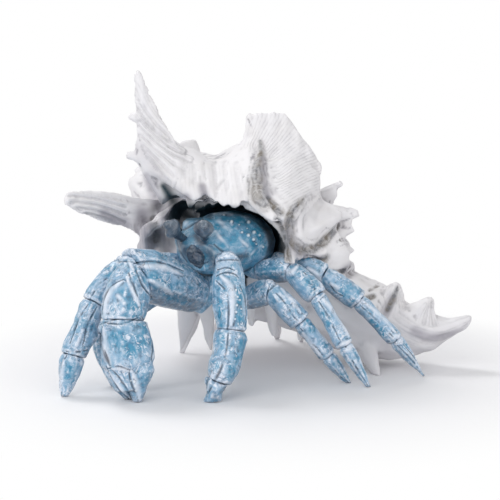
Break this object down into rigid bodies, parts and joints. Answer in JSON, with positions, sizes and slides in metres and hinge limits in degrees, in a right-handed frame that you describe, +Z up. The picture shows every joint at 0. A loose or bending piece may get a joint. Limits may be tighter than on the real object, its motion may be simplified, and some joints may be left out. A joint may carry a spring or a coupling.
{
  "type": "hermit crab figurine",
  "caption": "Cast ornament: a hermit crab standing on its claws and legs, with its body seated in a branched, fluted murex shell.",
  "frame": {"origin": "centre of the figure's footprint box, on the surface that it stands on", "axes": "+X along the figure's longest extent, from the large claw's side to the tip of the shell's canal; +Y from the crab's face towards the back of the shell; +Z up"},
  "size_m": [0.216, 0.21, 0.1602],
  "materials": {
    "shell_white": "matte cast resin, off-white wash",
    "crab_blue": "matte cast resin, blue with white dry-brushing",
    "crab_dark": "satin cast resin, dark grey"
  },
  "bodies": {
    "root": {"claw_arm": "crab_blue", "claw_finger": "crab_blue", "claw_palm": "crab_blue", "claw_wrist": "crab_blue", "crab_body": "crab_blue", "eyestalk_left": "crab_dark", "eyestalk_right": "crab_dark", "front_leg_arm": "crab_blue", "front_leg_shin": "crab_blue", "front_leg_tip": "crab_blue", "front_leg_wrist": "crab_blue", "left_leg_arm": "crab_blue", "left_leg_shin": "crab_blue", "left_leg_tip": "crab_blue", "left_leg_wrist": "crab_blue", "left_rear_leg_shin": "crab_blue", "left_rear_leg_tip": "crab_blue", "middle_leg_arm": "crab_blue", "middle_leg_shin": "crab_blue", "middle_leg_tip": "crab_blue", "middle_leg_wrist": "crab_blue", "mouthparts": "crab_dark", "rear_leg_arm": "crab_blue", "rear_leg_shin": "crab_blue", "rear_leg_tip": "crab_blue", "rear_leg_wrist": "crab_blue", "shell_body": "shell_white", "shell_fan": "shell_white", "shell_horn": "shell_white", "shell_rear_horn": "shell_white", "shell_side_horn": "shell_white", "shell_tail": "shell_white", "small_claw_arm": "crab_blue", "small_claw_finger": "crab_blue", "small_claw_palm": "crab_blue", "small_claw_wrist": "crab_blue"}
  },
  "joints": []
}
